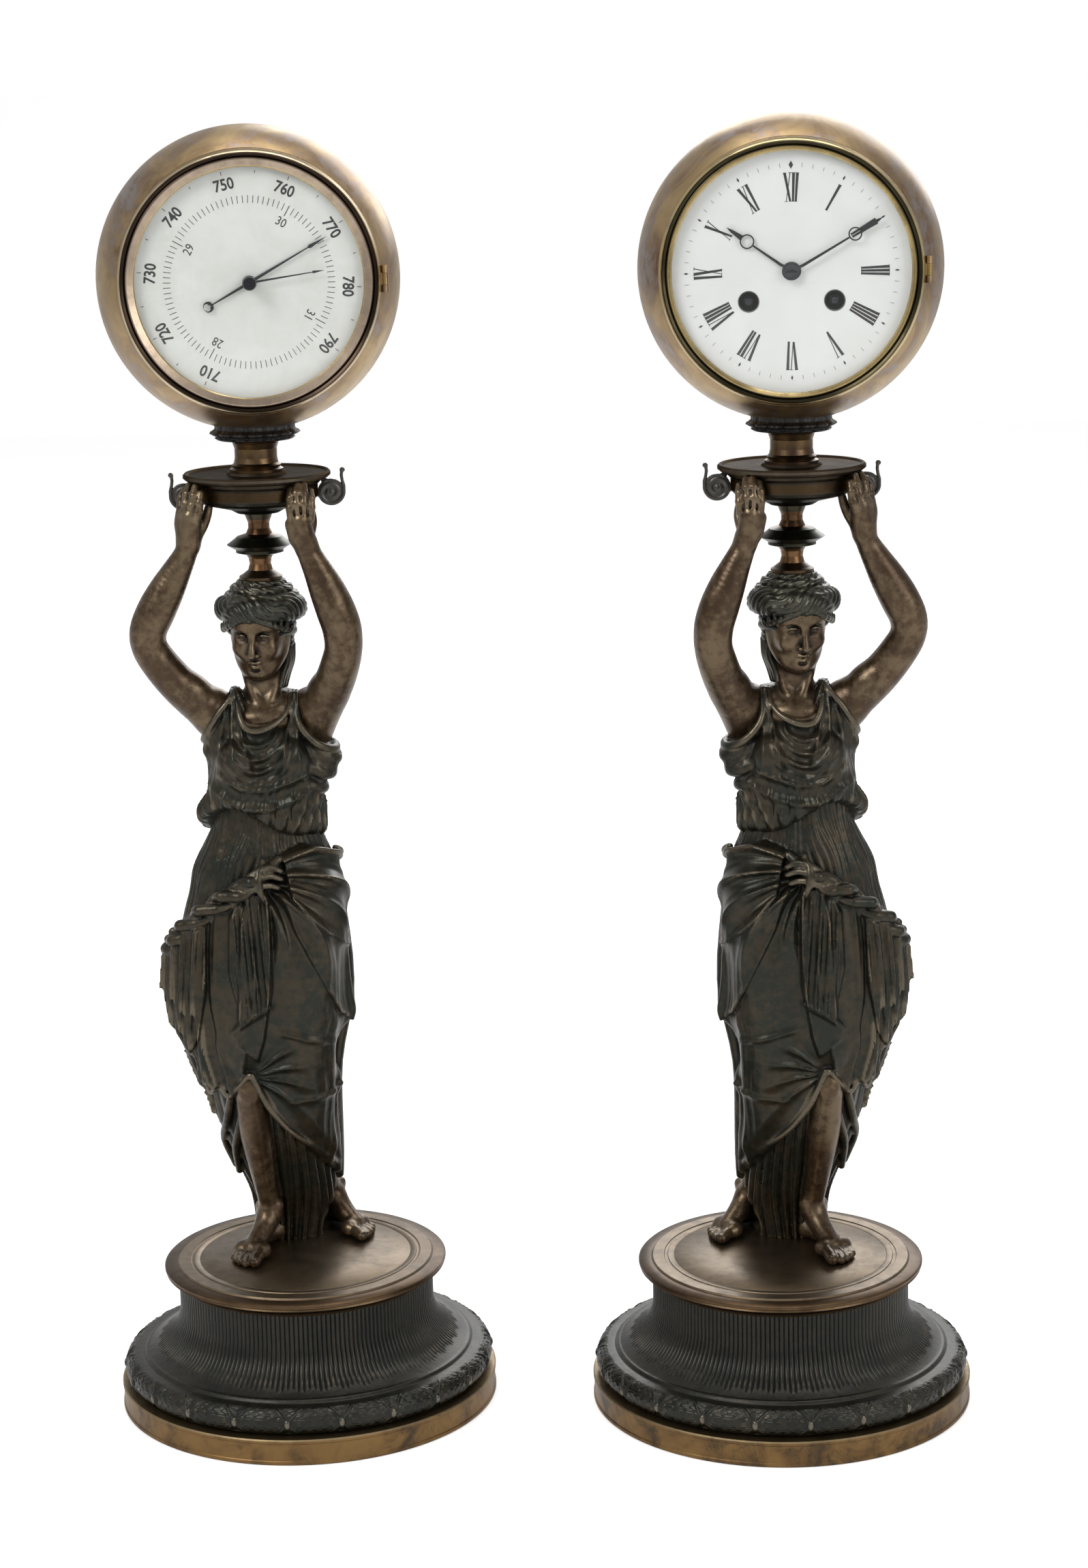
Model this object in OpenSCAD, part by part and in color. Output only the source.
// Clock and barometer set: two draped caryatids, each on a round base,
// each holding up a dish that carries a ball case. The right ball holds a
// striking clock movement, the left ball an aneroid barometer.
// Millimetres, +Z up, front towards -Y, origin on the floor midway between the units.

/* [Pair] */
// Distance between the axes of the two bases
unit_pitch = 227.4; // [215:1:320]
// Turn of the barometer towards the middle
barometer_turn = 9; // [0:1:15]
// Turn of the clock
clock_turn = 0; // [-10:1:10]
// Sideways offset of the figure and ball from the base axis
upper_out = 8; // [4:1:12]
// Backward offset of the figure and ball from the base axis
upper_back = 8; // [2:1:12]

/* [Base] */
// Radius of the brass foot ring
foot_r = 90; // [86:1:100]
// Height of the foot ring
foot_h = 12.5; // [8:0.5:16]
// Wall of the base castings
base_wall = 3; // [2:0.5:5]
// Height of the plate that the figure stands on
plate_top = 70; // [66:1:80]
// Overhang of that plate past the waist of the base
plate_overhang = 6.8; // [6:0.2:9]
// Thickness of that plate with its mouldings
plate_t = 8; // [7.4:0.2:10]
// Radius of the reeded waist of the base
waist_r = 60.5; // [57:0.5:63]
// How far the garland moulding stays inside the foot ring
torus_inset = 2; // [1:0.5:4]

/* [Figure] */
// Height of the figure from its soles to the crown of the hair
figure_h = 326.3; // [300:1:360]
// Columns of points round the drapery
fold_cols = 54; // [24:2:60]
// Depth of the drapery folds
fold_depth = 1.6; // [0.6:0.1:2.4]

/* [Stem] */
// Height of the spindle between the head and the dish
spindle_h = 30.7; // [26:0.5:36]
// Radius of the pointed flange of the spindle
spindle_flange_r = 15; // [12:0.5:18]
// Radius of the spindle's two throats
spindle_throat_r = 4.9; // [4:0.1:6]
// Radius of the dish at its rim
dish_r = 33.8; // [31:0.2:36]
// Radius of the dish's body under the rim
dish_body_r = 27.8; // [25:0.2:29]
// Height of the dish
dish_h = 19; // [16:0.5:22]
// Radius of the scroll handles
handle_r = 6.8; // [6:0.1:7.4]
// Thickness of the scroll handles
handle_t = 4; // [3:0.5:6]
// Radius of the neck under the ball
neck_r = 9.7; // [8:0.1:12]
// Height of the neck
neck_h = 14; // [11:0.5:18]
// Radius of the leaf collar
collar_r = 20.9; // [18:0.1:24]
// Thickness of the leaf collar under the ball
collar_h = 4.9; // [4.2:0.1:6]
// Radius of the stud that ties case, collar and neck
stud_r = 2.5; // [2:0.1:3]

/* [Ball case] */
// Outer radius of the ball
ball_r = 68.6; // [67.6:0.2:72]
// Wall of the ball
ball_wall = 2; // [1.4:0.1:2.4]
// Thickness of the front seat ring
seat_ring = 2.2; // [1.6:0.1:3]
// How far the bezels' rims stay inside the ball's outline
bezel_inset = 10.4; // [9.2:0.1:11.2]
// Depth of the bezels
bezel_depth = 7.8; // [7.4:0.1:9]
// Width of the clock's bezel
clock_bezel_w = 5.9; // [5.7:0.1:7]
// Width of the barometer's bezel
barometer_bezel_w = 7.8; // [6:0.1:9]
// Thickness of the glasses
glass_t = 1.2; // [0.8:0.1:1.4]
// Rise of the domed glasses
glass_rise = 4.6; // [4:0.1:6]
// Radius of the rear door of the clock
rear_r = 38.5; // [34:0.5:42]
// Radius of the hinge knuckles
knuckle_r = 1.5; // [1.2:0.1:1.7]
// Radius of the hinge pins
hinge_pin_r = 0.7; // [0.5:0.05:0.9]
// Length of the middle knuckle
knuckle_l = 5; // [4:0.5:7]

/* [Dials] */
// Thickness of the dials
dial_t = 1.2; // [0.8:0.1:1.6]
// Radius of the winding holes
winding_hole_r = 4.3; // [3.6:0.1:5]
// Sideways distance of the winding arbors from the centre
winding_x = 18.8; // [18:0.1:20]
// Distance of the winding arbors below the centre
winding_y = 12.6; // [12.4:0.1:14]
// Gap between the minute hand's tip and the clock's bezel
minute_hand_gap = 6.3; // [4:0.1:10]
// Gap between the hour hand's tip and the minute hand's tip
hour_hand_gap = 11.5; // [8:0.5:16]
// Gap between the indicator's tip and the barometer's bezel
indicator_gap = 10.4; // [6:0.1:14]
// Gap between the set hand's tip and the indicator's tip
set_hand_gap = 6.4; // [3:0.1:10]
// Thickness of the hands
hand_t = 0.6; // [0.4:0.1:0.8]
// Minutes past the hour shown at rest
minutes_shown = 10; // [0:1:59]
// Hour shown at rest
hour_shown = 10; // [1:1:12]
// Angle of the barometer's indicator from the top, clockwise
indicator_angle = 61; // [0:1:120]
// Angle of the barometer's set hand from the top, clockwise
set_hand_angle = 82; // [0:1:120]

/* [Movement] */
// Radius of the movement plates
movement_r = 41; // [40:0.5:43]
// Thickness of the movement plates
movement_plate_t = 2; // [1.5:0.1:2.5]
// Room between the front plate and the dial for the motion work
motion_room = 5.6; // [5.4:0.1:7]
// Outer face of the back plate behind the ball's centre
back_plate_t = 10; // [9:0.5:12]
// Radius of the pillars
pillar_r = 3.2; // [2.5:0.1:3.6]
// Radius of the spring barrels
barrel_r = 16.2; // [15:0.1:16.5]
// Length of the spring barrels
barrel_l = 21; // [18:0.5:22]
// Teeth of the barrels
barrel_teeth = 72; // [66:1:76]
// Teeth of the centre pinion
centre_pinion_teeth = 14; // [12:1:16]
// Teeth of the centre wheel
centre_wheel_teeth = 64; // [60:1:68]
// Teeth of the third pinion
third_pinion_teeth = 8; // [7:1:9]
// Teeth of the third wheel
third_wheel_teeth = 56; // [54:1:58]
// Teeth of the escape pinion
escape_pinion_teeth = 8; // [7:1:9]
// Teeth of the escape wheel
escape_teeth = 30; // [26:2:32]
// Height of the escape arbor above the centre
escape_y = 20; // [19.5:0.1:20.5]
// Height of the pallet arbor above the centre
pallet_y = 32.5; // [32:0.1:33.5]
// Radius of the escape wheel
escape_r = 8; // [7:0.1:8.4]
// Length of the pendulum from its pivot to the bob's centre
pendulum_l = 77; // [70:0.5:80]
// Radius of the pendulum bob
bob_r = 10; // [8:0.5:11]
// Radius of the bell
bell_r = 24; // [20:0.5:25]
// Radius of the arbors
arbor_r = 1; // [0.8:0.05:1.1]
// Running clearance of the arbors and pins
run_gap = 0.05; // [0.02:0.01:0.1]
// Gap that keeps still parts apart
still_gap = 0.3; // [0.2:0.05:0.4]

/* [Aneroid] */
// Radius of the aneroid's base plate
aneroid_plate_r = 44; // [40:0.5:47]
// Radius of the vacuum capsule
capsule_r = 24; // [20:0.5:26]
// Thickness of the vacuum capsule
capsule_t = 7; // [5:0.5:9]
// Height of the capsule's lever arbor above the centre
lever_y = 26; // [25:0.5:28]

/* [Hidden] */
$fn = 96;

// Heights up the stem
crown_z = plate_top + figure_h;
dish_z = crown_z + spindle_h;
neck_z = dish_z + dish_h;
collar_z = neck_z + neck_h;
ball_z = collar_z + collar_h + ball_r;

// Radii of the base
torus_r = foot_r - torus_inset;
plate_r = waist_r + plate_overhang;

// Places in the ball, measured from its centre towards the viewer
bezel_r = ball_r - bezel_inset;
seat_t = sqrt(ball_r * ball_r - pow(bezel_r + 0.44, 2));
dial_face = seat_t + dial_t;
clock_sight_r = bezel_r - clock_bezel_w;
barometer_sight_r = bezel_r - barometer_bezel_w;
minute_hand_l = clock_sight_r - minute_hand_gap;
hour_hand_l = minute_hand_l - hour_hand_gap;
indicator_l = barometer_sight_r - indicator_gap;
set_hand_l = indicator_l - set_hand_gap;
glass_seat = seat_t + 3.6;
hinge_x = bezel_r + knuckle_r + 0.25;
hinge_t = seat_t + knuckle_r + 0.1;
rear_hinge_x = rear_r + knuckle_r + 0.7;
rear_hinge_d = ball_r + knuckle_r + still_gap;
rear_hinge_t = -sqrt(rear_hinge_d * rear_hinge_d - rear_hinge_x * rear_hinge_x);
// A dial reaches under its bezel, and a glass sits inside it
function dial_r(sight_r) = sight_r + 1.3;
function glass_r(sight_r) = sight_r + 1.2;

// Levels of the movement, measured from the ball's centre towards the viewer
front_plate_t = seat_t - motion_room;
front_in = front_plate_t - movement_plate_t;
back_in = movement_plate_t - back_plate_t;
pillar_at = movement_r - pillar_r - 2.3;
barrel_low = back_in + 6;
great_low = barrel_low + barrel_l;
strike_great_low = back_in + 2;
centre_wheel_low = front_in - 4.5;
third_wheel_low = 14;
escape_low = back_in + 5;
cannon_low = front_plate_t + 0.8;
hour_wheel_low = front_plate_t + 3.4;
hour_hand_low = dial_face + 0.9;
minute_hand_low = hour_hand_low + hand_t + 0.8;
winder_end = seat_t - 0.2;
cannon_r = arbor_r + 0.5;
hour_pipe_r = cannon_r + 1.1;

// Gear sizes
great_module = 2 * norm([winding_x, winding_y]) / (barrel_teeth + centre_pinion_teeth);
centre_module = 0.4;
third_module = 0.35;
cannon_teeth = 12;
minute_wheel_teeth = 36;
minute_pinion_teeth = 10;
hour_wheel_teeth = 40;
motion_y = 12;
cannon_module = 2 * motion_y / (cannon_teeth + minute_wheel_teeth);
hour_module = 2 * motion_y / (minute_pinion_teeth + hour_wheel_teeth);
centre_third = centre_module * (centre_wheel_teeth + third_pinion_teeth) / 2;
third_escape = third_module * (third_wheel_teeth + escape_pinion_teeth) / 2;
third_y = (centre_third * centre_third - third_escape * third_escape + escape_y * escape_y)
    / (2 * escape_y);
third_x = -sqrt(centre_third * centre_third - third_y * third_y);
minute_angle = 90 - 6 * minutes_shown;
hour_angle = 90 - 30 * hour_shown - minutes_shown / 2;

// Colours
brass = [0.70, 0.55, 0.30];
dark_bronze = [0.16, 0.17, 0.14];
skin_bronze = [0.42, 0.31, 0.20];
plate_bronze = [0.50, 0.38, 0.25];
black_iron = [0.07, 0.07, 0.07];
enamel = [0.94, 0.94, 0.92];
steel = [0.55, 0.57, 0.60];
clear_glass = [0.85, 0.92, 0.95, 0.35];

// Places: a unit's base frame, its upper axis and the frame of its instrument
module clock_unit() {
    translate([unit_pitch / 2, 0, 0]) rotate([0, 0, clock_turn]) children();
}
module barometer_unit() {
    translate([-unit_pitch / 2, 0, 0]) rotate([0, 0, barometer_turn]) mirror([1, 0, 0]) children();
}
module upper() {
    translate([upper_out, upper_back, 0]) children();
}
module clock_ball() {
    translate([unit_pitch / 2, 0, 0]) rotate([0, 0, clock_turn])
        translate([upper_out, upper_back, ball_z]) rotate([90, 0, 0]) children();
}
module barometer_ball() {
    translate([-unit_pitch / 2, 0, 0]) rotate([0, 0, barometer_turn])
        translate([-upper_out, upper_back, ball_z]) rotate([90, 0, 0]) children();
}

// Curves
function bezier(a, b, c, d, n) = [for (i = [0:n]) let (t = i / n, s = 1 - t)
    s * s * s * a + 3 * s * s * t * b + 3 * s * t * t * c + t * t * t * d];
function blend_row(a, b, c, d, t) = 0.5 * (2 * b + (c - a) * t
    + (2 * a - 5 * b + 4 * c - d) * t * t + (3 * b - a - 3 * c + d) * t * t * t);
function dense(rows, n) = let (m = len(rows) - 1) concat(
    [for (i = [0:m - 1]) for (k = [0:n - 1])
        blend_row(rows[max(i - 1, 0)], rows[i], rows[i + 1], rows[min(i + 2, m)], k / n)],
    [rows[m]]);
function bump(x, w) = exp(-x * x / (w * w));
function unit(v) = v / norm(v);

function middle(ring, i = 0) = i == len(ring) - 1 ? ring[i] / len(ring)
    : ring[i] / len(ring) + middle(ring, i + 1);

// A closed skin over a list of rings that all have the same number of points;
// its two ends are fans round their middles
module skin(rings) {
    n = len(rings[0]);
    m = len(rings);
    side = [for (i = [0:m - 2]) for (j = [0:n - 1]) let (k = (j + 1) % n)
        [i * n + j, (i + 1) * n + j, (i + 1) * n + k]];
    side2 = [for (i = [0:m - 2]) for (j = [0:n - 1]) let (k = (j + 1) % n)
        [i * n + j, (i + 1) * n + k, i * n + k]];
    fans = [for (j = [0:n - 1]) let (k = (j + 1) % n)
        each [[m * n, j, k], [m * n + 1, (m - 1) * n + k, (m - 1) * n + j]]];
    polyhedron(
        points = concat([for (ring = rings) for (p = ring) p],
            [middle(rings[0]), middle(rings[m - 1])]),
        faces = concat(side, side2, fans));
}

// A limb swept along rows of [x, y, z, half width, half thickness];
// no point goes below the given floor
module limb(rows, sides, steps, floor_z = 0, look = [0, 1, 0]) {
    path = dense(rows, steps);
    m = len(path) - 1;
    skin([for (i = [0:m]) let (
        p = [path[i][0], path[i][1], path[i][2]],
        q = path[min(i + 1, m)] - path[max(i - 1, 0)],
        t = unit([q[0], q[1], q[2]]),
        u = unit(cross(look, t)),
        v = cross(t, u))
        [for (j = [0:sides - 1]) let (a = 360 * j / sides,
            w = p + u * path[i][3] * cos(a) + v * path[i][4] * sin(a))
            [w[0], w[1], max(w[2], floor_z)]]]);
}

// A gear with straight-sided teeth; a tooth is centred on the given angle
module gear(teeth, module_size, thickness, phase) {
    pitch_r = teeth * module_size / 2;
    tip = pitch_r + 0.8 * module_size;
    root = pitch_r - 1.15 * module_size;
    part = 360 / teeth;
    linear_extrude(thickness) polygon([for (i = [0:teeth - 1])
        for (corner = [[root, -0.33], [tip, -0.11], [tip, 0.11], [root, 0.33]])
            let (a = phase + part * (i + corner[1]))
            corner[0] * [cos(a), sin(a)]]);
}
// The angle of a tooth on a wheel in mesh with another whose tooth is at a known angle
function mesh_phase(other_phase, other_teeth, teeth, direction) =
    direction + 180 + ((direction - other_phase) * other_teeth / 360 - 0.5) * 360 / teeth;
third_direction = atan2(third_y, third_x);
escape_direction = atan2(escape_y - third_y, -third_x);
going_direction = atan2(-winding_y, winding_x);
great_phase = mesh_phase(0, centre_pinion_teeth, barrel_teeth, going_direction);
third_phase = mesh_phase(0, centre_wheel_teeth, third_pinion_teeth, third_direction);
escape_phase = mesh_phase(third_phase, third_wheel_teeth, escape_pinion_teeth, escape_direction);
minute_wheel_phase = mesh_phase(minute_angle, cannon_teeth, minute_wheel_teeth, -90);
hour_phase = mesh_phase(minute_wheel_phase, minute_pinion_teeth, hour_wheel_teeth, 90);

// The base, in its unit's frame
module foot_ring() {
    color(brass) rotate_extrude($fn = 180) polygon([
        [foot_r - 18, 0], [foot_r - 0.6, 0], [foot_r, 0.6], [foot_r, foot_h - 0.6],
        [foot_r - 0.6, foot_h], [foot_r - 18, foot_h]]);
}

plate_low = plate_top - plate_t;
torus_low = foot_h + 0.6;
torus_high = torus_low + 12.6;
torus_mid = (torus_low + torus_high) / 2;
scotia_low = torus_high + 1.6;
function drum_outline() = concat(
    [[torus_r - 7, foot_h], [torus_r - 3.4, torus_low]],
    [for (a = [-50:12.5:75]) [torus_r - 6.4 + 6.4 * cos(a), torus_mid + 6.3 * sin(a)]],
    [[torus_r - 7.5, torus_high], [torus_r - 9, torus_high], [torus_r - 10.2, scotia_low]],
    bezier([torus_r - 11.6, scotia_low], [waist_r + 6, scotia_low + 4],
        [waist_r, scotia_low + 11], [waist_r, scotia_low + 22], 12),
    [[waist_r + 0.8, plate_low]]);
module base_drum() {
    color(dark_bronze) rotate_extrude($fn = 180) polygon(concat(
        drum_outline(),
        [[waist_r - base_wall, plate_low], [waist_r - base_wall, scotia_low + 12],
         [torus_r - 20, scotia_low - 3], [torus_r - 16, foot_h]]));
}

module base_plate() {
    color(plate_bronze) rotate_extrude($fn = 180) polygon([
        [0, plate_top], [plate_r - 7, plate_top], [plate_r - 6.2, plate_top - 0.9],
        [plate_r - 0.8, plate_top - 1.1], [plate_r, plate_top - 1.9],
        [plate_r, plate_top - 2.9], [plate_r - 0.9, plate_top - 3.5],
        [plate_r - 0.5, plate_top - 4.3], [plate_r - 1.4, plate_top - 5.2],
        [plate_r - 3.4, plate_top - 5.8], [plate_r - 4.4, plate_top - 7],
        [plate_r - 4.8, plate_low], [0, plate_low]]);
}

// The figure, in the frame of the upper axis. Rows are [height above the soles,
// middle x, middle y, half width, half depth] in a figure of the drawn height.
drawn_h = 326.3;
rise = figure_h / drawn_h;
function lift(h) = plate_top + h * rise;

skirt_rows = [
    [0, -4, 26, 19, 16], [14, -5, 25, 21, 16.5], [27, -5, 22, 23.5, 18.5],
    [44, -1.5, 18, 26.5, 20.5], [60, 0.5, 14, 29.5, 22.5], [80, 2.5, 10, 31.5, 24],
    [100, 6, 7, 35.5, 25.5], [116, 4.5, 5, 40, 26], [128, 5, 5, 43, 26.5],
    [144, 5.5, 6, 42, 27], [160, 4, 7, 41.5, 26.5], [176, 2, 8, 38.5, 24.5],
    [190, 1.5, 7, 35.5, 21.5], [202, 2, 6, 29, 18], [212, 1.5, 5, 25.5, 15.5]];
// The mantle over the skirt, as pairs of angle and height: its upper edge falls from
// the inner back to the outer hip, its lower edge rises to the slit in front
mantle_high = [
    [-180, 194], [-150, 198], [-125, 202], [-105, 199], [-90, 191], [-75, 184], [-55, 177],
    [-35, 167], [-15, 155], [10, 150], [40, 156], [70, 164], [100, 173], [130, 182],
    [160, 190], [180, 194]];
mantle_low = [
    [-180, 29], [-158, 34], [-140, 40], [-125, 47], [-106, 59], [-90, 73], [-79, 89],
    [-60, 84], [-16, 84], [-4, 77], [6, 61], [18, 54], [35, 42], [60, 30], [90, 18],
    [120, 14], [150, 22], [180, 29]];
// The knot of the mantle in front, and the folds that fan out from it to the inner hip
knot_a = -80;
knot_h = 186;
fan_part = 19;
function lies(v, w) = 1 / (1 + exp(-v / w));
function fold_wave(a, h) = sin(7 * a + 40 * sin(h / 22 * 57.3 / 4)) * 0.5
    + sin(13 * a + h * 1.4) * 0.5;
function fan_wave(a, h) = let (u = 0.62 * (knot_a - a), v = h - knot_h,
    way = atan2(v, u))
    lies(norm([u, v]) - 7, 1.5) * lies(u - 1, 1.5) * lies(32 - way, 5) * lies(way + 80, 6)
    * cos(360 * way / fan_part);
function relief(turn, h) = let (
    a = turn > 180 ? turn - 360 : turn,
    top = lookup(a, mantle_high),
    over = lies(h - lookup(a, mantle_low), 0.9) * lies(top + 4 - h, 1.2),
    inner = bump(a + 168, 26),
    fan = fan_wave(a, h),
    back = bump(a - 110, 60),
    cloth = 3.7 - 1.4 * inner * lies(h - 112, 8) + 0.9 * bump(a + 122, 20)
        + 1.2 * back * lies(128 - h, 6) - 1.2 * bump(a - 36, 16) * lies(h - 60, 8),
    roll = 3 * bump(h - top, 5.2) * (1 - 0.6 * bump(a + 130, 32) - 0.5 * bump(a - 150, 45)),
    knot = 4 * bump(a - knot_a, 8) * bump(h - knot_h, 9),
    tail = 1.2 * bump(a + 78, 8) * lies(h - 116, 4) * lies(180 - h, 4))
    over * (cloth + roll + knot + tail + 0.9 * fan)
    + fold_depth * fold_wave(a, h) * (h < 150 ? 0.6 : 0.2) * (1 - bump(a + 110, 40)) - 0.6;
module drapery() {
    rows = dense(skirt_rows, 3);
    color(dark_bronze) skin([for (row = rows) [for (j = [0:fold_cols - 1]) let (
        a = 360 * j / fold_cols, h = row[0],
        proud = relief(a, h))
        [row[1] + (row[3] + proud) * cos(a), row[2] + (row[4] + proud) * sin(a),
         lift(h)]]]);
}

torso_rows = [
    [199, 1, 6.5, 22, 14], [203, 1, 6, 27, 17], [209, 1.5, 5, 29.5, 19],
    [218, 1, 4.5, 28, 17.5], [226, 0.5, 3.5, 26.5, 17], [235, 0, 2.5, 28.5, 18.5],
    [243, -0.5, 1.5, 30, 19.5], [251, -1, 2.5, 30.5, 17.5], [257, -1, 4, 28, 14],
    [261.5, -0.5, 5, 22, 11.5], [265, 0, 5.5, 14.5, 9.5], [268, 0.5, 5, 9.5, 9]];
module torso() {
    rows = dense(torso_rows, 3);
    color(dark_bronze) skin([for (row = rows) [for (j = [0:fold_cols / 2 - 1]) let (
        a = 720 * j / fold_cols, h = row[0],
        chest = 2.6 * bump(h - 241, 7) * (bump(a - 238, 16) + bump(a - 302, 16)),
        pleat = 0.5 * sin(11 * a) * (h < 258 ? 1 : 0))
        [row[1] + (row[3] + pleat) * cos(a), row[2] + (row[4] + chest + pleat) * sin(a),
         lift(h)]]]);
}

// Neck, chin, face, the rolled hair and the flat crown
head_rows = [
    [264, 0.5, 5, 8.6, 8.6], [272, 1.5, 4, 8, 8.2], [277, 2.5, 1.5, 8.5, 10.5],
    [281, 3, -1, 10.5, 14.5], [288, 3, -0.5, 13, 17], [296, 2.5, 0, 14.6, 18.2],
    [302, 2, 1, 16.5, 19], [307, 1.2, 2, 20.5, 20.8], [313, 0.5, 2.5, 22, 22],
    [318, 0, 2, 19.5, 20], [322, 0, 1, 14.5, 15.5], [325, 0, 0.3, 11.5, 12],
    [326.3, 0, 0, 10.4, 10.4]];
module head() {
    rows = dense(head_rows, 3);
    color(skin_bronze) skin([for (row = rows) [for (a = [0:15:345])
        [row[1] + row[3] * cos(a), row[2] + row[4] * sin(a), lift(row[0])]]]);
}

// The hands follow the dish that they hold, in height and in radius
function held(r) = let (w = max(0, min(1, (r[2] - 293) / 55)),
    out = unit([r[0], r[1], 0]) * (dish_body_r - 27.8) * w)
    [r[0] + out[0], r[1] + out[1], lift(r[2]) + (spindle_h - 30.7) * w, r[3], r[4]];

outer_arm = [
    [18, 4, 247, 9, 9], [26, 2, 253, 10.2, 10], [35, 0, 266, 9.2, 9],
    [45, -3, 281, 8.4, 8.2], [52.5, -5, 293, 8.8, 8.2], [53, -6, 303, 9, 8.2],
    [46, -7, 315, 8.8, 7.8], [39, -8.5, 325, 7.4, 6.6], [32.5, -11, 336, 6.2, 5.4],
    [29, -13, 344, 5.6, 4.2], [30, -15, 353, 6.2, 3.4], [32, -17, 361, 5.6, 2.8],
    [32.6, -15, 368, 4.8, 2.4]];
inner_arm = [
    [-16, 3, 247, 9, 9], [-24, 0, 253, 10.2, 10], [-29, -6, 265, 9.6, 9.2],
    [-33.5, -13, 278, 9, 8.8], [-36.5, -20, 291, 9.4, 8.8], [-35.5, -24, 303, 9.4, 8.6],
    [-30, -25, 317, 8.6, 8], [-24.5, -24.5, 329, 7.2, 6.6], [-19.8, -24.5, 340, 5.8, 5],
    [-18.4, -25.5, 348, 6.6, 4], [-18.8, -26.5, 357, 7.4, 3.2], [-19, -27.5, 365, 6.6, 2.8],
    [-18.6, -27, 371, 5, 2.4]];
module arm(rows) {
    color(skin_bronze) limb([for (r = rows) held(r)], 12, 3);
}

free_leg = [
    [15, -14, 92, 8, 8], [14.5, -9.5, 74, 8.2, 8.4], [12, -3.5, 52, 7.4, 7.8],
    [9.5, 3, 32, 6, 6.6], [8, 7.5, 18, 5.4, 6.4], [8.4, 7, 8, 6.2, 8],
    [11, -4, 5, 7.6, 6], [14, -14, 2.5, 8.8, 5], [17.5, -22, 1, 8.4, 3.6],
    [18.5, -26, 0, 6, 2.4]];
standing_leg = [
    [-18, 8, 60, 8, 8], [-20, 18, 40, 7, 7], [-22, 28, 24, 5.8, 6],
    [-23, 33, 15, 5.4, 6.4], [-23.5, 32, 7, 6.2, 8], [-28, 22, 5, 7.4, 6],
    [-32.5, 13.5, 2.5, 8.6, 4.6], [-36, 6.5, 1, 8, 3.4], [-37.5, 3, 0, 5.6, 2.2]];
module legs() {
    color(skin_bronze) for (rows = [free_leg, standing_leg])
        limb([for (r = rows) [r[0], r[1], lift(r[2]), r[3], r[4]]], 12, 3, plate_top,
            look = [0.3, -0.6, 0.8]);
}

// The stem, in the frame of the upper axis
module spindle() {
    t = spindle_throat_r;
    f = spindle_flange_r;
    h = spindle_h;
    color(dark_bronze) rotate_extrude() polygon([
        [0, crown_z], [9.9, crown_z], [9.9, crown_z + 1.3], [8.4, crown_z + 2.1],
        [t + 0.8, crown_z + 4.2], [t, crown_z + 7], [t + 0.4, crown_z + 9.6],
        [t + 1.4, crown_z + 11.2], [f - 4, crown_z + 12.4], [f - 4, crown_z + 13.6],
        [f, crown_z + 16], [f - 3.8, crown_z + 18.8], [f - 4.6, crown_z + 19.6],
        [t + 1.2, crown_z + 21], [t, crown_z + 23.6], [t, crown_z + 26],
        [t + 1.8, crown_z + h], [0, crown_z + h]]);
}

module dish() {
    b = dish_body_r;
    top = neck_z;
    color(dark_bronze) rotate_extrude() polygon([
        [0, dish_z], [spindle_throat_r + 5, dish_z], [13, dish_z + 1.8],
        [b - 3.2, dish_z + 4.6], [b - 1.2, dish_z + 5.8], [b, dish_z + 7.2],
        [b, dish_z + 12.6], [b + 1.2, dish_z + 13.8], [b + 1.4, top - 4],
        [dish_r - 1.2, top - 3.2], [dish_r, top - 2.2], [dish_r, top - 1],
        [dish_r - 0.8, top - 0.2], [dish_r - 1.8, top - 0.4], [dish_r - 2.6, top - 1],
        [14, top - 1.2], [13, top], [0, top]]);
}

module dish_handles() {
    z = dish_z + 8.2;
    x = dish_body_r + handle_r - 0.9;
    hook_r = 4.4;
    color(black_iron) for (side = [0, 1]) mirror([side, 0, 0]) {
        difference() {
            union() {
                translate([x, handle_t / 2, z]) rotate([90, 0, 0]) cylinder(r = handle_r, h = handle_t);
                translate([dish_body_r - 1, -handle_t / 2, z - 1.6]) cube([3, handle_t, 3.2]);
            }
            cylinder(r = dish_body_r, h = crown_z + 100);
        }
        translate([x + handle_r - 1.2, 0, z + 1]) cylinder(r1 = 1.2, r2 = 0.9, h = hook_r + 4.6);
        translate([x + handle_r - 1.2, 0, z + hook_r + 5.6]) sphere(r = 1.3);
    }
}

module neck() {
    top = collar_z;
    color(plate_bronze) rotate_extrude() polygon([
        [0, neck_z], [12.3, neck_z], [12.3, neck_z + 1.2], [neck_r + 1.2, neck_z + 2],
        [neck_r + 1.6, neck_z + 3], [neck_r + 0.5, neck_z + 4], [neck_r, neck_z + 6.4],
        [neck_r, top - 3.4], [neck_r + 0.8, top - 1], [neck_r + 1.3, top],
        [stud_r, top], [stud_r, top + 11], [0, top + 11]]);
}

module collar() {
    color(black_iron) difference() {
        rotate_extrude() polygon([
            [stud_r, collar_z], [13, collar_z], [collar_r - 3.4, collar_z + 0.7],
            [collar_r - 2.4, collar_z + 1.5], [collar_r - 3.2, collar_z + 2.2],
            [collar_r, collar_z + 3.8], [collar_r - 1.4, collar_z + 4.8],
            [collar_r - 2.6, collar_z + 5.8], [collar_r - 2.4, collar_h + collar_z + 4],
            [stud_r, collar_h + collar_z + 4]]);
        translate([0, 0, ball_z]) sphere(r = ball_r, $fn = 180);
    }
}

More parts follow.
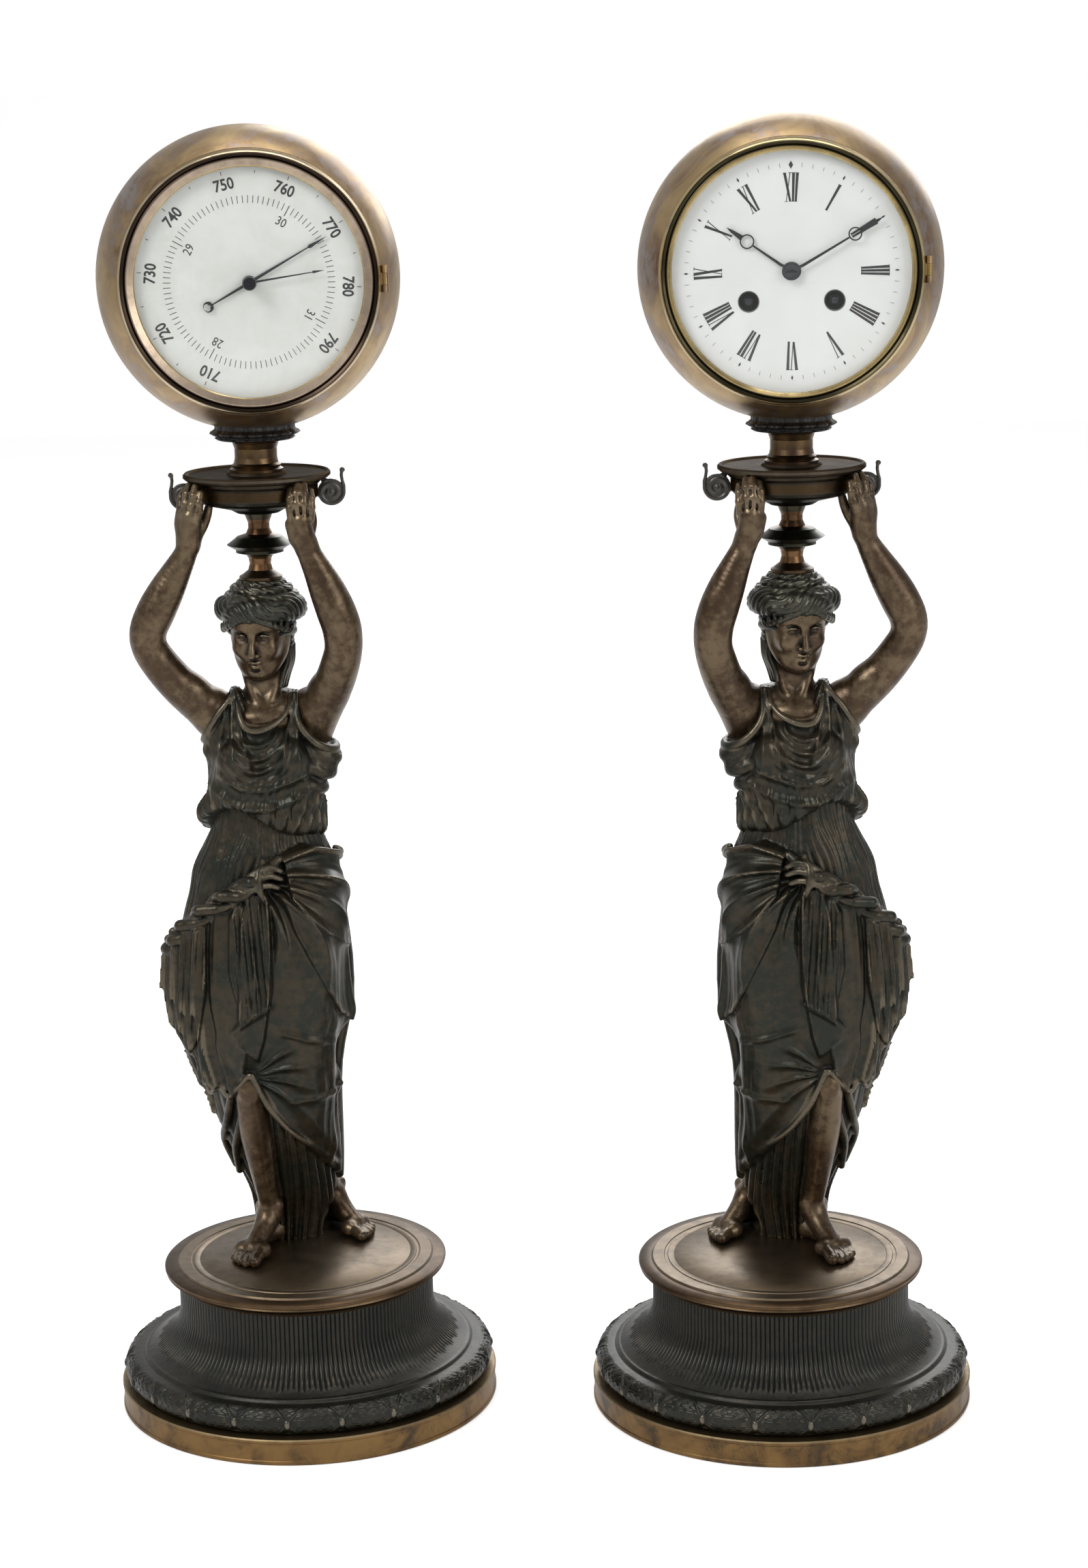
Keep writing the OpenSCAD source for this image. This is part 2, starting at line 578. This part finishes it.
// The ball case and what closes it, in the instrument's frame:
// x to the right, y up and z towards the viewer
module knuckles(x, t, low, high, pin) {
    for (part = [[-high, -low], [low, high]]) translate([x, part[0], t]) rotate([-90, 0, 0])
        cylinder(r = knuckle_r, h = part[1] - part[0], $fn = 32);
    if (pin) translate([x, -high, t]) rotate([-90, 0, 0])
        cylinder(r = hinge_pin_r, h = 2 * high, $fn = 32);
}
half_knuckle = knuckle_l / 2;
outer_knuckle = half_knuckle + 0.2;
knuckle_end = outer_knuckle + 3.2;
opening_r = sqrt(pow(ball_r - ball_wall, 2) - seat_t * seat_t);

module ball_shell() {
    difference() {
        sphere(r = ball_r, $fn = 180);
        sphere(r = ball_r - ball_wall, $fn = 180);
        translate([0, 0, seat_t]) cylinder(r = ball_r, h = ball_r);
        rotate([90, 0, 0]) cylinder(r = stud_r, h = ball_r + 5);
    }
}
module seat(inner_r) {
    translate([0, 0, seat_t - seat_ring]) difference() {
        cylinder(r = opening_r + 1, h = seat_ring, $fn = 180);
        translate([0, 0, -1]) cylinder(r = inner_r, h = seat_ring + 2);
    }
}
// Fixed knuckles of the bezel's hinge with their legs down to the ball
module bezel_hinge_lugs() {
    knuckles(hinge_x, hinge_t, outer_knuckle, knuckle_end, true);
    for (side = [-1, 1]) difference() {
        translate([bezel_r + 0.35, side > 0 ? outer_knuckle : -knuckle_end, seat_t - 6])
            cube([2 * knuckle_r - 0.2, knuckle_end - outer_knuckle, hinge_t - seat_t + 6]);
        sphere(r = ball_r - ball_wall / 2, $fn = 180);
        translate([hinge_x, -20, hinge_t]) rotate([-90, 0, 0]) cylinder(r = hinge_pin_r, h = 40, $fn = 32);
    }
}
module clock_case() {
    color(brass) {
        difference() {
            ball_shell();
            translate([0, 0, -ball_r - 5]) cylinder(r = rear_r + still_gap, h = ball_r);
        }
        seat(dial_r(clock_sight_r) - 4);
        bezel_hinge_lugs();
        knuckles(rear_hinge_x, rear_hinge_t, outer_knuckle, knuckle_end, true);
        for (side = [-1, 1]) translate([0, side * (outer_knuckle + knuckle_end) / 2, 0])
            difference() {
                rotate([0, atan2(rear_hinge_x, rear_hinge_t), 0]) difference() {
                    translate([0, 0, ball_r - 1])
                        cylinder(r = 1.3, h = rear_hinge_d - ball_r + 1, $fn = 32);
                    translate([0, 0, rear_hinge_d]) rotate([90, 0, 0])
                        cylinder(r = hinge_pin_r, h = 20, $fn = 32, center = true);
                }
                translate([0, 0, -ball_r - 5]) cylinder(r = rear_r + still_gap, h = ball_r);
            }
    }
}
module barometer_case() {
    color(brass) {
        ball_shell();
        seat(dial_r(barometer_sight_r) - 4);
        bezel_hinge_lugs();
    }
}

module bezel(sight_r) {
    r = bezel_r;
    d = bezel_depth;
    g = glass_r(sight_r) + 0.1;
    lip = 3.6 + glass_t + glass_rise * (1 - pow(sight_r / glass_r(sight_r), 2)) + 0.02;
    color(brass) {
        difference() {
            translate([0, 0, seat_t]) rotate_extrude($fn = 180) polygon([
                [r, 0], [r + 0.2, d * 0.2], [r - 0.1, d * 0.6], [r - 0.9, d * 0.86],
                [r - 1.9, d], [r - 2.9, d * 0.93], [r - 3.3, d * 0.84], [r - 3.8, d * 0.87],
                [r - 4.5, d * 0.88], [sight_r + 0.5, lip + 0.9], [sight_r, lip + 0.4],
                [sight_r, lip], [g, lip], [g, 3.2],
                [dial_r(sight_r) + 0.5, dial_t + 0.5], [dial_r(sight_r) + 0.5, 0]]);
            translate([hinge_x, -20, hinge_t]) rotate([-90, 0, 0])
                cylinder(r = knuckle_r + 0.15, h = 40, $fn = 32);
        }
        bezel_knuckle();
    }
}
module bezel_knuckle() {
    difference() {
        union() {
            translate([hinge_x, -half_knuckle, hinge_t]) rotate([-90, 0, 0])
                cylinder(r = knuckle_r, h = knuckle_l, $fn = 32);
            translate([bezel_r - 1, -half_knuckle, hinge_t - 0.9]) cube([2, knuckle_l, 1.8]);
        }
        translate([hinge_x, -20, hinge_t]) rotate([-90, 0, 0])
            cylinder(r = hinge_pin_r + run_gap, h = 40, $fn = 32);
    }
}

module glass(sight_r, centre_hole_r) {
    glass_r = glass_r(sight_r);
    dome_r = (glass_r * glass_r + glass_rise * glass_rise) / (2 * glass_rise);
    color(clear_glass) intersection() {
        difference() {
            translate([0, 0, glass_seat + glass_t + glass_rise - dome_r - 0.01])
                sphere(r = dome_r, $fn = 360);
            translate([0, 0, glass_seat + glass_rise - dome_r - 0.01])
                sphere(r = dome_r, $fn = 360);
            if (centre_hole_r > 0) cylinder(r = centre_hole_r, h = 100, $fn = 32);
        }
        translate([0, 0, glass_seat - glass_t]) cylinder(r = glass_r, h = 40, $fn = 180);
    }
}

dial_feet = [for (a = [60, 180, 300]) 36 * [cos(a), sin(a)]];
module clock_dial() {
    color(enamel) difference() {
        union() {
            translate([0, 0, seat_t]) cylinder(r = dial_r(clock_sight_r), h = dial_t, $fn = 180);
            for (p = dial_feet) translate([p[0], p[1], front_plate_t])
                cylinder(r = 1.6, h = seat_t - front_plate_t, $fn = 32);
        }
        cylinder(r = hour_pipe_r + 0.6, h = 60, $fn = 48);
        for (side = [-1, 1]) translate([side * winding_x, -winding_y, 0])
            cylinder(r = winding_hole_r, h = 60, $fn = 48);
    }
}
module barometer_dial() {
    color(enamel) difference() {
        translate([0, 0, seat_t]) cylinder(r = dial_r(barometer_sight_r), h = dial_t, $fn = 180);
        cylinder(r = arbor_r + 1, h = 60, $fn = 32);
    }
}

module clock_rear_door() {
    color(brass) {
        intersection() {
            difference() {
                sphere(r = ball_r, $fn = 180);
                sphere(r = ball_r - ball_wall, $fn = 180);
            }
            translate([0, 0, -ball_r - 5]) cylinder(r = rear_r, h = ball_r);
        }
        difference() {
            union() {
                translate([rear_hinge_x, -half_knuckle, rear_hinge_t]) rotate([-90, 0, 0])
                    cylinder(r = knuckle_r, h = knuckle_l, $fn = 32);
                translate([rear_hinge_x - knuckle_r - 3, -half_knuckle, rear_hinge_t - 1.1])
                    cube([knuckle_r + 2.2, knuckle_l, 1.4]);
            }
            translate([rear_hinge_x, -20, rear_hinge_t]) rotate([-90, 0, 0])
                cylinder(r = hinge_pin_r + run_gap, h = 40, $fn = 32);
        }
        rotate([0, 180 + asin((rear_r - 6) / ball_r), 0]) translate([0, 0, ball_r - 1])
            cylinder(r = 2.2, h = 6, $fn = 32);
    }
}

// The clock movement, in the instrument's frame
going_at = [winding_x, -winding_y];
strike_at = [-winding_x, -winding_y];
third_at = [third_x, third_y];
escape_at = [0, escape_y];
pallet_at = [0, pallet_y];
hammer_at = [31, -20];
bell_at = [16, 4];
pillars_at = [for (a = [14, 62, 118, 166, 270]) pillar_at * [cos(a), sin(a)]];
arbors_at = [[0, 0], third_at, escape_at, pallet_at];
module at(p, t) {
    translate([p[0], p[1], t]) children();
}
module pivots(t) {
    for (p = arbors_at) at(p, t) cylinder(r = arbor_r + run_gap, h = 20, $fn = 32, center = true);
    for (p = [going_at, strike_at]) at(p, t)
        cylinder(r = 2 * arbor_r + run_gap, h = 20, $fn = 32, center = true);
}
module movement_frame() {
    strap_l = sqrt(pow(ball_r - ball_wall, 2) - pow(back_plate_t, 2)) - 0.4;
    color(brass) {
        difference() {
            at([0, 0], -back_plate_t) cylinder(r = movement_r, h = movement_plate_t);
            pivots(-back_plate_t);
            at(hammer_at, -back_plate_t)
                cylinder(r = arbor_r + run_gap, h = 20, $fn = 32, center = true);
        }
        for (p = pillars_at) at(p, back_in) cylinder(r = pillar_r, h = front_in - back_in, $fn = 32);
        for (side = [-1, 1]) translate([side * (movement_r + strap_l - 1) / 2, 0, -back_plate_t + 1])
            cube([strap_l - movement_r + 1, 8, 2], center = true);
        at(bell_at, -back_plate_t - bell_stand_l) cylinder(r = 1.5, h = bell_stand_l, $fn = 32);
    }
}
bell_rim = -back_plate_t - 11;
bell_high = 13;
bell_stand_l = 11 + bell_high - 1;
module movement_front_plate() {
    color(brass) {
        difference() {
            at([0, 0], front_in) cylinder(r = movement_r, h = movement_plate_t);
            pivots(front_plate_t);
        }
        at([0, -motion_y], front_plate_t) cylinder(r = arbor_r, h = 5.2, $fn = 32);
    }
}

module going_barrel() {
    color(brass) at(going_at, 0) difference() {
        union() {
            translate([0, 0, barrel_low]) cylinder(r = barrel_r, h = barrel_l + 1);
            translate([0, 0, great_low]) gear(barrel_teeth, great_module, 2, great_phase);
        }
        cylinder(r = 2 * arbor_r + run_gap, h = 90, center = true, $fn = 32);
    }
}
module strike_barrel() {
    color(brass) at(strike_at, 0) difference() {
        union() {
            translate([0, 0, barrel_low]) cylinder(r = barrel_r, h = barrel_l);
            translate([0, 0, strike_great_low]) gear(barrel_teeth, great_module, 2, 0);
            translate([0, 0, strike_great_low + 1.9]) cylinder(r = 6, h = barrel_low - strike_great_low - 1.8);
        }
        cylinder(r = 2 * arbor_r + run_gap, h = 90, center = true, $fn = 32);
    }
}
module winder(p) {
    color(steel) at(p, 0) {
        translate([0, 0, -back_plate_t]) cylinder(r = 2 * arbor_r, h = front_plate_t + back_plate_t, $fn = 32);
        translate([0, 0, (front_plate_t + winder_end) / 2])
            cube([2.6 * arbor_r, 2.6 * arbor_r, winder_end - front_plate_t], center = true);
    }
}
module centre_arbor() {
    color(brass) {
        translate([0, 0, -back_plate_t]) cylinder(r = arbor_r, h = back_plate_t + minute_hand_low + 1.2, $fn = 32);
        translate([0, 0, great_low - 0.8]) gear(centre_pinion_teeth, great_module, 3.2, 0);
        translate([0, 0, centre_wheel_low + 0.5]) gear(centre_wheel_teeth, centre_module, 1.4, 0);
    }
}
// A round open ring near the tip of a straight tapered hand
module open_hand(length, ring_at, ring_r, hub_r, thickness) {
    joint_at = ring_r - 0.4;
    linear_extrude(thickness) union() {
        circle(r = hub_r, $fn = 48);
        polygon([[0, 0.7], [ring_at - joint_at, 0.4], [ring_at - joint_at, -0.4], [0, -0.7]]);
        translate([ring_at, 0]) difference() {
            circle(r = ring_r, $fn = 48);
            circle(r = ring_r - 0.6, $fn = 48);
        }
        polygon([[ring_at + joint_at, 1.2], [length - 3, 0.7], [length, 0], [length - 3, -0.7],
            [ring_at + joint_at, -1.2]]);
    }
}
module minute_hand() {
    color(black_iron) difference() {
        union() {
            translate([0, 0, minute_hand_low]) rotate([0, 0, minute_angle])
                open_hand(minute_hand_l, minute_hand_l - 14, 3, 3.9, hand_t);
            translate([0, 0, minute_hand_low + 0.3]) cylinder(r1 = 3.4, r2 = 2.6, h = 1.6, $fn = 48);
            translate([0, 0, cannon_low]) cylinder(r = cannon_r, h = minute_hand_low - cannon_low + 0.2, $fn = 32);
            translate([0, 0, cannon_low]) gear(cannon_teeth, cannon_module, 2, minute_angle);
        }
        cylinder(r = arbor_r + run_gap, h = minute_hand_low + 1.25, $fn = 32);
    }
}
module minute_wheel() {
    color(brass) at([0, -motion_y], cannon_low + 0.2) difference() {
        union() {
            gear(minute_wheel_teeth, cannon_module, 1.4, minute_wheel_phase);
            gear(minute_pinion_teeth, hour_module, 3.8, minute_wheel_phase);
        }
        cylinder(r = arbor_r + run_gap, h = 30, center = true, $fn = 32);
    }
}
module hour_wheel() {
    color(brass) difference() {
        union() {
            translate([0, 0, hour_wheel_low]) gear(hour_wheel_teeth, hour_module, 1.2, hour_phase);
            translate([0, 0, hour_wheel_low]) cylinder(r = hour_pipe_r, h = hour_hand_low + hand_t - hour_wheel_low, $fn = 48);
        }
        cylinder(r = cannon_r + run_gap, h = 60, $fn = 32);
    }
}
module hour_hand() {
    color(black_iron) difference() {
        union() {
            translate([0, 0, hour_hand_low]) rotate([0, 0, hour_angle])
                open_hand(hour_hand_l, hour_hand_l - 11, 3.2, 4.2, hand_t);
            translate([0, 0, hour_hand_low + 0.1]) cylinder(r = 3.6, h = hand_t + 0.05, $fn = 48);
        }
        cylinder(r = hour_pipe_r + 0.02, h = 60, $fn = 48);
    }
}
module wheel_arbor(p) {
    at(p, -back_plate_t) cylinder(r = arbor_r, h = front_plate_t + back_plate_t, $fn = 32);
}
module third_wheel() {
    color(brass) {
        wheel_arbor(third_at);
        at(third_at, centre_wheel_low - 0.5) gear(third_pinion_teeth, centre_module, 4, third_phase);
        at(third_at, third_wheel_low) gear(third_wheel_teeth, third_module, 1.2, third_phase);
    }
}
module escape_wheel() {
    color(brass) {
        wheel_arbor(escape_at);
        at(escape_at, third_wheel_low - 1) gear(escape_pinion_teeth, third_module, 3.2, escape_phase);
        at(escape_at, escape_low) gear(escape_teeth, 2 * (escape_r - 0.4) / escape_teeth, 1, 90 + 180 / escape_teeth);
    }
}
pallet_span = 38;
pallet_reach = escape_r + 0.7;
module pallet_anchor() {
    tip = [pallet_reach * sin(pallet_span), escape_y + pallet_reach * cos(pallet_span)];
    color(steel) {
        wheel_arbor(pallet_at);
        translate([0, 0, escape_low - 0.4]) linear_extrude(1.8) polygon([
            [0, pallet_y + 2.6], [tip[0] + 2, tip[1] + 1.6], tip,
            [tip[0] - 1.4, tip[1] + 1.2], [0, pallet_y - 2], [1.4 - tip[0], tip[1] + 1.2],
            [-tip[0], tip[1]], [-tip[0] - 2, tip[1] + 1.6]]);
        at(pallet_at, pendulum_t - 1.2) cylinder(r = arbor_r, h = -back_plate_t - pendulum_t + 1.2, $fn = 32);
    }
}
pendulum_t = -back_plate_t - 6;
module pendulum() {
    color(brass) {
        difference() {
            at(pallet_at, pendulum_t - 1.2) cylinder(r = 2.4, h = 2.4, $fn = 32);
            at(pallet_at, pendulum_t) cylinder(r = arbor_r + 0.02, h = 10, $fn = 32, center = true);
        }
        translate([0, pallet_y - pendulum_l, pendulum_t]) rotate([-90, 0, 0])
            cylinder(r = 0.9, h = pendulum_l - 2, $fn = 32);
        translate([0, pallet_y - pendulum_l, pendulum_t]) intersection() {
            cylinder(r = bob_r, h = 5, center = true);
            sphere(r = bob_r * 1.02);
        }
    }
}
module strike_bell() {
    color(brass) at(bell_at, 0) difference() {
        translate([0, 0, bell_rim - bell_high]) rotate_extrude() polygon([
            [1.55, 0], [bell_r * 0.55, 0.4], [bell_r * 0.86, bell_high * 0.3],
            [bell_r, bell_high * 0.9], [bell_r, bell_high], [bell_r - 1.6, bell_high],
            [bell_r * 0.86 - 1.6, bell_high * 0.3 + 1], [bell_r * 0.55, 2], [1.55, 2]]);
    }
}
module strike_hammer() {
    head = [bell_at[0] + bell_r + 4.2, bell_at[1] - 1];
    reach = norm(head - hammer_at);
    lean = atan2(head[1] - hammer_at[1], head[0] - hammer_at[0]);
    t = bell_rim - 2;
    color(steel) {
        at(hammer_at, t - 1) cylinder(r = arbor_r, h = back_in - t + 1, $fn = 32);
        at(hammer_at, t) rotate([0, 90, lean]) cylinder(r = 0.8, h = reach, $fn = 24);
        at(head, t) sphere(r = 3, $fn = 48);
    }
}

// The aneroid barometer, in its instrument's frame
plate_face_t = 10;
spring_low = plate_face_t + capsule_t + 2.4;
spring_t = 1.6;
lever_t = spring_low + spring_t - 0.2;
lever_low = lever_t + 0.8;
drum_low = lever_low + 3.4;
bridge_low = drum_low + 5;
module aneroid_frame() {
    low = plate_face_t - 2;
    reach = sqrt(pow(ball_r - ball_wall, 2) - low * low) - 0.4;
    color(brass) {
        translate([0, 0, low]) cylinder(r = aneroid_plate_r, h = 2);
        for (side = [-1, 1]) translate([side * (aneroid_plate_r + reach - 1) / 2, 0, low + 1])
            cube([reach - aneroid_plate_r + 1, 8, 2], center = true);
        for (side = [-1, 1]) translate([side * (capsule_r + 6), 0, plate_face_t])
            cylinder(r = 2.4, h = bridge_low - plate_face_t, $fn = 32);
        difference() {
            translate([0, 0, bridge_low + 1]) cube([2 * capsule_r + 18, 9, 2], center = true);
            cylinder(r = arbor_r + run_gap, h = 60, $fn = 32);
        }
        for (side = [-1, 1]) difference() {
            translate([side * 9 - 1.5, lever_y - 3, plate_face_t])
                cube([3, 6, lever_t + 2.6 - plate_face_t]);
            translate([0, lever_y, lever_t]) rotate([0, 90, 0])
                cylinder(r = arbor_r + run_gap, h = 40, center = true, $fn = 32);
        }
    }
}
module aneroid_capsule() {
    ribs = 5;
    pitch = capsule_r / (ribs + 1);
    color(steel) translate([0, -1, plate_face_t]) rotate_extrude() polygon(concat(
        [[0, 0], [capsule_r - 1, 0], [capsule_r, 0.8], [capsule_r, capsule_t - 2.2],
         [capsule_r - 1, capsule_t - 1.4]],
        [for (i = [0:ribs * 2 - 2]) [capsule_r - 2 - i * pitch / 2, capsule_t - 1.4 + 0.7 * (i % 2)]],
        [[2.6, capsule_t - 1.4], [2.6, capsule_t + 2.4], [0, capsule_t + 2.4]]));
}
module aneroid_spring() {
    back = capsule_r + 2.2;
    color(steel) {
        translate([0, -back, plate_face_t]) difference() {
            translate([-9, -10, 0]) cube([18, 10, spring_low + spring_t - plate_face_t]);
            translate([-10, -8.2, spring_t]) cube([20, 9, spring_low - spring_t - plate_face_t]);
        }
        translate([-6, -back - 0.1, spring_low]) cube([12, back + 0.8, spring_t]);
    }
}
// The block beyond the arbor balances the arm
module aneroid_lever() {
    color(brass) {
        translate([0, lever_y, lever_t]) rotate([0, 90, 0]) cylinder(r = arbor_r, h = 24, center = true, $fn = 32);
        translate([-1.2, -3, lever_low]) cube([2.4, lever_y + 4.5, 1.2]);
        translate([-4, lever_y + 1, lever_t - 2.4]) cube([8, 8, 4]);
    }
}
module indicator_hand() {
    turn = 90 - indicator_angle;
    color(black_iron) {
        translate([0, 0, drum_low - 0.6]) cylinder(r = arbor_r, h = hour_hand_low - drum_low + 0.6, $fn = 32);
        difference() {
            translate([0, 0, drum_low]) cylinder(r = 3.4, h = 4, $fn = 48);
            translate([0, 0, drum_low + 1]) difference() {
                cylinder(r = 6, h = 2, $fn = 48);
                cylinder(r = 2.6, h = 2, $fn = 48);
            }
        }
        translate([0, 0, hour_hand_low]) rotate([0, 0, turn]) linear_extrude(hand_t) difference() {
            union() {
                circle(r = 3.1, $fn = 48);
                polygon([[0, 0.7], [indicator_l - 10, 0.45], [indicator_l - 9, 1.5], [indicator_l, 0],
                    [indicator_l - 9, -1.5], [indicator_l - 10, -0.45], [0, -0.7]]);
                polygon([[0, 0.7], [-19, 0.5], [-19, -0.5], [0, -0.7]]);
                translate([-21, 0]) circle(r = 2.4, $fn = 48);
            }
            translate([-21.6, 0]) circle(r = 1.7, $fn = 48);
        }
    }
}
module set_hand() {
    turn = 90 - set_hand_angle;
    top = glass_seat + glass_rise + glass_t;
    color(brass) {
        translate([0, 0, minute_hand_low + 0.4]) rotate([0, 0, turn]) linear_extrude(hand_t) union() {
            circle(r = 2.6, $fn = 48);
            polygon([[0, 0.5], [set_hand_l - 5.6, 0.35], [set_hand_l - 5.1, 1.1], [set_hand_l, 0],
                [set_hand_l - 5.1, -1.1], [set_hand_l - 5.6, -0.35], [0, -0.5]]);
        }
        translate([0, 0, minute_hand_low + 0.4]) cylinder(r = arbor_r, h = top - minute_hand_low + 1.4, $fn = 32);
        translate([0, 0, top + still_gap]) cylinder(r1 = 3.2, r2 = 2.8, h = 1.8, $fn = 48);
    }
}

clock_unit() foot_ring();  // clock_foot_ring
clock_unit() base_drum();  // clock_base_drum
clock_unit() base_plate();  // clock_base_plate
clock_unit() upper() drapery();  // clock_drapery
clock_unit() upper() torso();  // clock_torso
clock_unit() upper() head();  // clock_head
clock_unit() upper() arm(inner_arm);  // clock_arm_inner
clock_unit() upper() arm(outer_arm);  // clock_arm_outer
clock_unit() upper() legs();  // clock_legs
clock_unit() upper() spindle();  // clock_spindle
clock_unit() upper() dish();  // clock_dish
clock_unit() upper() dish_handles();  // clock_dish_handles
clock_unit() upper() neck();  // clock_neck
clock_unit() upper() collar();  // clock_collar
clock_ball() clock_case();
clock_ball() bezel(clock_sight_r);  // clock_bezel
clock_ball() glass(clock_sight_r, 0);  // clock_glass
clock_ball() clock_dial();
clock_ball() clock_rear_door();
clock_ball() movement_frame();
clock_ball() movement_front_plate();
clock_ball() going_barrel();
clock_ball() strike_barrel();
clock_ball() winder(going_at);  // going_winder
clock_ball() winder(strike_at);  // strike_winder
clock_ball() centre_arbor();
clock_ball() minute_hand();
clock_ball() minute_wheel();
clock_ball() hour_wheel();
clock_ball() hour_hand();
clock_ball() third_wheel();
clock_ball() escape_wheel();
clock_ball() pallet_anchor();
clock_ball() pendulum();
clock_ball() strike_bell();
clock_ball() strike_hammer();
barometer_unit() foot_ring();  // barometer_foot_ring
barometer_unit() base_drum();  // barometer_base_drum
barometer_unit() base_plate();  // barometer_base_plate
barometer_unit() upper() drapery();  // barometer_drapery
barometer_unit() upper() torso();  // barometer_torso
barometer_unit() upper() head();  // barometer_head
barometer_unit() upper() arm(inner_arm);  // barometer_arm_inner
barometer_unit() upper() arm(outer_arm);  // barometer_arm_outer
barometer_unit() upper() legs();  // barometer_legs
barometer_unit() upper() spindle();  // barometer_spindle
barometer_unit() upper() dish();  // barometer_dish
barometer_unit() upper() dish_handles();  // barometer_dish_handles
barometer_unit() upper() neck();  // barometer_neck
barometer_unit() upper() collar();  // barometer_collar
barometer_ball() barometer_case();
barometer_ball() bezel(barometer_sight_r);  // barometer_bezel
barometer_ball()  // barometer_glass
    glass(barometer_sight_r, arbor_r + run_gap);
barometer_ball() barometer_dial();
barometer_ball() aneroid_frame();
barometer_ball() aneroid_capsule();
barometer_ball() aneroid_spring();
barometer_ball() aneroid_lever();
barometer_ball() indicator_hand();
barometer_ball() set_hand();
